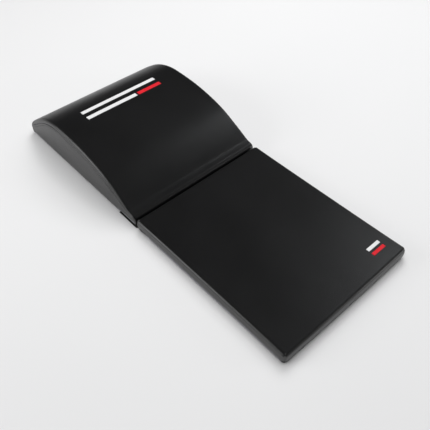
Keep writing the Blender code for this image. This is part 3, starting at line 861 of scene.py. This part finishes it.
def outward_normals(plan):
    """Unit normals that point out of an anticlockwise loop."""
    along = np.roll(plan, -1, axis=0) - np.roll(plan, 1, axis=0)
    away = np.column_stack([along[:, 1], -along[:, 0]])
    return away / np.maximum(np.linalg.norm(away, axis=1), 1e-9)[:, None]


def mat_base_skin():
    """Non-slip underside of the mat: a shallow tray sewn to the band low on the side."""
    rings = [(TUCK, MAT_SEAM_Z - 0.0001), (0.0007, MAT_SEAM_Z - 0.0005), (0.0003, MAT_SEAM_Z - 0.0012)]
    for k in range(1, 7):
        turn = math.pi / 2 * k / 6
        inset = 0.0003 + MAT_BOTTOM_EDGE * (1 - math.cos(turn))
        rings.append((inset, MAT_BOTTOM_EDGE * (1 - math.sin(turn))))
    rings += [(inset, 0.0) for inset in BASE_INSETS]
    rows = []
    for inset, z in rings:
        plan = mat_plan(inset)
        sunk = lean(plan) * np.clip(1 - inset / 0.03, 0, 1)
        plan = plan - outward_normals(plan) * sunk[:, None]
        rows.append(np.column_stack([plan, z + 0.0001 + mat_underside(plan[:, 1])]))
    count = len(rows[0])
    faces = grid_faces(len(rows), count, loop=True)
    faces.append([(len(rows) - 1) * count + k for k in range(count)])
    verts = pull_in(np.concatenate(rows))
    skin = make_object("mat_base_skin", verts, [face[::-1] for face in faces], [BASE_CLOTH])
    thicken(skin, BASE_SKIN)
    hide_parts("mat_base_panel")
    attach(skin, "mat")


def mat_stitching():
    """Sewn row just above the bottom seam, and an upright row beside each corner seam."""
    plan = mat_plan(-0.0001)
    plan = plan - outward_normals(plan) * (0.8 * lean(plan))[:, None]
    line = np.column_stack([plan, MAT_SEAM_Z + 0.0022 + mat_underside(plan[:, 1])])
    line = pull_in(np.concatenate([line, line[:1]]))
    away = outward_normals(plan)
    normals = np.column_stack([np.concatenate([away, away[:1]]), np.zeros(len(line))])
    row = stitch_row("mat_seam_stitching", line, normals, THREAD)
    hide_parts("mat_seam_thread")
    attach(row, "mat")
    for end in ("front", "back"):
        for side in ("left", "right"):
            node = f"mat_corner_seam_{end}_{side}"
            low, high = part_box(node)
            middle = (low + high) / 2
            out = np.array((math.copysign(1, middle.x), math.copysign(1, middle.y - MAT_MIDDLE), 0.0))
            out = out / math.sqrt(2)
            levels = np.linspace(low.z, high.z, CORNER_LEVELS)
            sunk = np.array((middle.x, middle.y)) - out[:2] * CORNER_SINKS
            track = np.column_stack([np.tile(sunk, (CORNER_LEVELS, 1)), levels])
            normals = np.tile(out, (CORNER_LEVELS, 1))
            upright = stitch_row(node.replace("seam", "stitching"), track, normals, THREAD)
            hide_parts(node)
            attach(upright, "mat")


def mat_prints():
    """Two short plain stripes near the front right corner."""
    for node, material, slot in (("mat_print_white", WHITE, "white_film"), ("mat_print_red", RED, "red_film")):
        low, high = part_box(node)
        xs, ys = np.linspace(low.x, high.x, 14), np.linspace(low.y, high.y, 6)
        x, y = np.meshgrid(xs, ys, indexing="ij")
        verts = np.stack([x, y, MAT_TOP + mat_crown(x, y) + MAT_STRIPE_GAP], axis=-1).reshape(-1, 3)
        film = make_object(node.replace("print", "stripe"), verts, grid_faces(len(xs), len(ys)), [material])
        face_up(film)
        thicken(film, FILM)
        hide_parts(node)
        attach(film, "mat")


# Flap and zips

def flap():
    """One flat strip of webbing under the toe and the mat, with close rows at the fold line and bound edges."""
    low_y, high_y, half = HEM_LOW.y, FLAP_HIGH.y, FLAP_HIGH.x
    thick = FLAP_HIGH.z - FLAP_LOW.z
    ys = np.concatenate([np.linspace(low_y, low_y + 0.004, 5), np.linspace(low_y + 0.006, SEAM_Y - 0.004, 12),
                         np.linspace(SEAM_Y - 0.003, SEAM_Y + 0.003, 13),
                         np.linspace(SEAM_Y + 0.004, high_y - 0.006, 18), np.linspace(high_y - 0.004, high_y, 5)])
    xs = np.concatenate([np.linspace(-half, -half + 0.004, 5), np.linspace(-half + 0.008, half - 0.008, 60),
                         np.linspace(half - 0.004, half, 5)])
    x, y = np.meshgrid(xs, ys, indexing="ij")
    edge = np.minimum(np.minimum(half - np.abs(x), y - low_y), high_y - y)
    x = x * (1 - HEM_NARROWS / half * smoothstep(SEAM_Y + 0.003, SEAM_Y - 0.004, y))
    thin = thick * (0.72 + 0.28 * np.exp(-((edge - 0.0020) / 0.0016) ** 2) - 0.22 * np.exp(-edge / 0.0005))
    upper = np.stack([x, y, thin], axis=-1)
    lower = np.stack([x, y, np.full_like(x, 0.0001)], axis=-1)
    rows, columns = x.shape
    faces = grid_faces(rows, columns)
    base = rows * columns
    faces += [tuple(base + k for k in face[::-1]) for face in faces]
    rim = [i * columns for i in range(rows)] + [(rows - 1) * columns + j for j in range(1, columns)]
    rim += [i * columns + columns - 1 for i in range(rows - 2, -1, -1)] + list(range(columns - 2, 0, -1))
    for k, a in enumerate(rim):
        b = rim[(k + 1) % len(rim)]
        faces.append((b, a, base + a, base + b))
    points = np.concatenate([upper.reshape(-1, 3), lower.reshape(-1, 3)])
    strip = make_object("fold_flap", points, faces, [WEBBING], 50)
    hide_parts("flap_strip", "flap_hem")
    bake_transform(strip)


def zip_teeth(prefix, axis, body):
    """Rounded nylon elements in place of each plain bar of teeth."""
    out_axis = 1 - axis
    for row in ("upper", "lower"):
        node = f"{prefix}_zip_{row}_teeth"
        low, high = (np.array(corner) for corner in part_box(node))
        middle, half = (low + high) / 2, (high - low) / 2
        shift = 0.0 if row == "upper" else TOOTH_PITCH / 2
        points, faces = [], []
        for n in range(int((high[axis] - low[axis]) / TOOTH_PITCH)):
            at = low[axis] + shift + (n + 0.5) * TOOTH_PITCH
            if at > high[axis]:
                continue
            first = len(points)
            for along, swell in TOOTH_PROFILE:
                for k in range(TOOTH_SIDES):
                    turn = 2 * math.pi / TOOTH_SIDES * (k + 0.5)
                    spot = np.zeros(3)
                    spot[axis] = at + along * TOOTH_LENGTH + TOOTH_LEAN * math.sin(turn)
                    spot[out_axis] = middle[out_axis] + half[out_axis] * swell * TOOTH_FILL * math.cos(turn)
                    spot[2] = middle[2] + half[2] * swell * TOOTH_FILL * math.sin(turn)
                    points.append(spot)
            faces += tube_faces(first, len(TOOTH_PROFILE), TOOTH_SIDES)
        teeth = make_object(f"{prefix}_zip_{row}_coil", points, faces, [COIL])
        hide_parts(node)
        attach(teeth, body)


def finish_cad_nodes():
    """Materials and softened edges for the CAD pieces that stay."""
    looks = {"foam_core": FOAM, "zip_upper_tape": ZIP_CLOTH, "zip_lower_tape": ZIP_CLOTH, "_stop": METAL,
             "zip_slider": METAL, "zip_pull": METAL, "hook_tape": HOOK, "loop_tape": LOOP}
    for name, node in frame["nodes"].items():
        for ending, material in looks.items():
            if name.endswith(ending):
                node.data.materials.clear()
                node.data.materials.append(material)
        if name.endswith(("_stop", "zip_slider", "zip_pull")):
            bevel = node.modifiers.new("soft_edges", "BEVEL")
            bevel.width = BEVEL_WIDTH
            bevel.segments = 3
            bevel.limit_method = "ANGLE"
            bevel.angle_limit = math.radians(30)


# Stage

def floor():
    """Plain pale floor, just under the part."""
    corners = [(-1, -1), (1, -1), (1, 1), (-1, 1)]
    points = [(x * FLOOR_HALF, y * FLOOR_HALF, FLOOR_Z) for x, y in corners]
    ground = make_object("floor", points, [(0, 1, 2, 3)], [floor_surface("floor")])


def soft_light(name, place, target, size, power, colour=(1, 1, 1), glossy=True):
    """Rectangular area light that faces its target."""
    data = bpy.data.lights.new(name, "AREA")
    data.shape = "RECTANGLE"
    data.size, data.size_y = size
    data.energy = power
    data.color = colour
    lamp = bpy.data.objects.new(name, data)
    bpy.context.collection.objects.link(lamp)
    lamp.location = place
    lamp.visible_glossy = glossy
    lamp.rotation_euler = (Vector(target) - Vector(place)).to_track_quat("-Z", "Y").to_euler()


def studio():
    """White surroundings and the lights."""
    world = bpy.data.worlds.new("studio")
    bpy.context.scene.world = world
    world.use_nodes = True
    world.node_tree.nodes["Background"].inputs["Color"].default_value = (1.0, 1.0, 1.0, 1.0)
    world.node_tree.nodes["Background"].inputs["Strength"].default_value = WORLD_STRENGTH
    for light in LIGHTS:
        soft_light(*light)


def camera():
    """Camera at the photograph's viewing angle."""
    data = bpy.data.cameras.new("camera")
    data.sensor_width = 36.0
    data.lens = CAMERA_LENS
    eye = bpy.data.objects.new("camera", data)
    bpy.context.collection.objects.link(eye)
    eye.location = CAMERA_PLACE
    turn = (Vector(CAMERA_TARGET) - Vector(CAMERA_PLACE)).to_track_quat("-Z", "Y")
    eye.rotation_euler = turn.to_euler()
    eye.rotation_euler.rotate_axis("Z", math.radians(CAMERA_ROLL))
    bpy.context.scene.camera = eye


CAMERA_LENS = 45.23
CAMERA_PLACE = (-0.5768, -0.7113, 0.9062)
CAMERA_TARGET = (-0.0293, -0.0942, 0.0)
CAMERA_ROLL = -0.73
WORLD_STRENGTH = 0.05
LIGHTS = [
    ("overhead", (0.0, 0.0, 3.4), (0.0, 0.0, 0.0), (3.8, 3.8), 97.0, (1, 1, 1), False),
    ("key", (1.5, 1.1, 2.3), (0.0, -0.2, 0.0), (1.6, 1.6), 33.0, (1, 1, 1), False),
    ("sheen", (1.84, -0.12, 1.70), (0.1, -0.3, 0.0), (0.6, 0.8), 4.2, (0.95, 0.975, 1.0), True),
    ("fill_left", (-2.2, 1.3, 1.0), (0.0, 0.0, 0.0), (1.8, 1.2), 22.0, (1, 1, 1), True),
    ("strip_front", (1.6, -1.9, 0.55), (0.15, -0.4, 0.0), (1.0, 0.5), 6.0, (1, 1, 1), True),
]

camera()
floor()
studio()
wedge_top_skin()
wedge_side_skins()
wedge_base_skin()
wedge_prints()
mat_skin()
mat_base_skin()
mat_stitching()
mat_prints()
flap()
zip_teeth("wedge", 0, "wedge")
zip_teeth("mat", 1, "mat")
finish_cad_nodes()

bpy.context.scene.view_settings.view_transform = "Standard"
